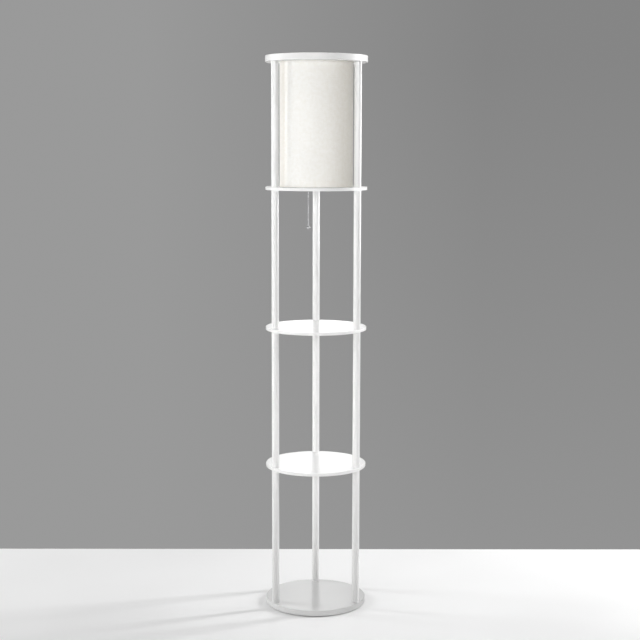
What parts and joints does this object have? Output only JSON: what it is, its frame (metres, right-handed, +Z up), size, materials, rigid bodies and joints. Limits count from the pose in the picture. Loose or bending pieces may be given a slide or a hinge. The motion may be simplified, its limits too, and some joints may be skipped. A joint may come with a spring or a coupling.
{
  "type": "shelf floor lamp",
  "caption": "Floor lamp with round shelf boards held by posts between a base disc and a top ring, a drum shade over the uppermost board and a pull-chain switch.",
  "frame": {"origin": "on the floor, under the middle of the base disc", "axes": "+Z up; -Y is the front, the side without a post; +X to the right seen from the front; the rear post line is on +Y"},
  "size_m": [0.29, 0.29, 1.588],
  "materials": {
    "white_board": "satin white paint on a fibreboard disc",
    "white_post": "satin white paint on a bored wooden pole",
    "felt": "grey felt",
    "zinc_steel": "zinc plated",
    "brass_pipe": "threaded brass",
    "black_plastic": "moulded bushing",
    "cover_sheet": "white painted strip",
    "shade_cloth": "off-white slub cloth on a stiff liner",
    "fitter_steel": "white painted steel",
    "socket_metal": "drawn cup, bright",
    "socket_ceramic": "moulded insulating core",
    "screw_brass": "plated sheet",
    "bulb_opal": "opal, satin",
    "bulb_metal": "rolled screw cap",
    "lever_nylon": "moulded nylon",
    "chain_chrome": "bright plated bead chain"
  },
  "bodies": {
    "frame": {"floor_pads": "felt", "base_disc": "white_board", "lower_shelf": "white_board", "middle_shelf": "white_board", "lamp_platform": "white_board", "top_ring": "white_board", "post_rear_1": "white_post", "post_rear_2": "white_post", "post_rear_3": "white_post", "post_rear_4": "white_post", "post_left_1": "white_post", "post_left_2": "white_post", "post_left_3": "white_post", "post_left_4": "white_post", "post_right_1": "white_post", "post_right_2": "white_post", "post_right_3": "white_post", "post_right_4": "white_post", "tie_bolts": "zinc_steel", "lead_pipe": "brass_pipe", "lock_nuts": "zinc_steel", "lead_bushing": "black_plastic", "channel_cover": "cover_sheet", "shade_drum": "shade_cloth", "shade_fitter": "fitter_steel", "socket_nipple": "zinc_steel", "socket_shell": "socket_metal", "socket_core": "socket_ceramic", "screw_shell": "screw_brass", "centre_contact": "screw_brass", "lever_axle": "zinc_steel", "return_spring": "zinc_steel", "chain_spout": "socket_metal", "chain_eyelet": "chain_chrome"},
    "switch_lever": {"switch_lever": "lever_nylon"},
    "chain_upper": {"upper_chain": "chain_chrome"},
    "chain_link": {"chain_coupling": "chain_chrome"},
    "chain_lower": {"lower_chain": "chain_chrome", "pull_ball": "chain_chrome"},
    "bulb": {"bulb_cap": "bulb_metal", "bulb_globe": "bulb_opal"}
  },
  "joints": [
    {"name": "chain_pull", "type": "slide", "parent": "frame", "child": "chain_upper", "axis": [0, 0, -1], "range_m": [0, 0.0102], "stiffness_N_per_m": 600, "springref_m": -0.002},
    {"name": "lever_turn", "type": "hinge", "parent": "frame", "child": "switch_lever", "pos_m": [-0.011, 0, 1.2516], "axis": [0, -1, 0], "range_deg": [0, 48]},
    {"name": "chain_swing_side", "type": "hinge", "parent": "chain_upper", "child": "chain_link", "pos_m": [-0.023, 0, 1.207], "axis": [0, 1, 0], "range_deg": [-25, 25]},
    {"name": "chain_swing_fore", "type": "hinge", "parent": "chain_link", "child": "chain_lower", "pos_m": [-0.023, 0, 1.207], "axis": [1, 0, 0], "range_deg": [-25, 25]},
    {"name": "bulb_lift", "type": "slide", "parent": "frame", "child": "bulb", "axis": [0, 0, 1], "range_m": [0, 0.33]}
  ],
  "couplings": [
    {"joint": "lever_turn", "follows": "chain_pull", "rad_per_m": 82.1}
  ]
}
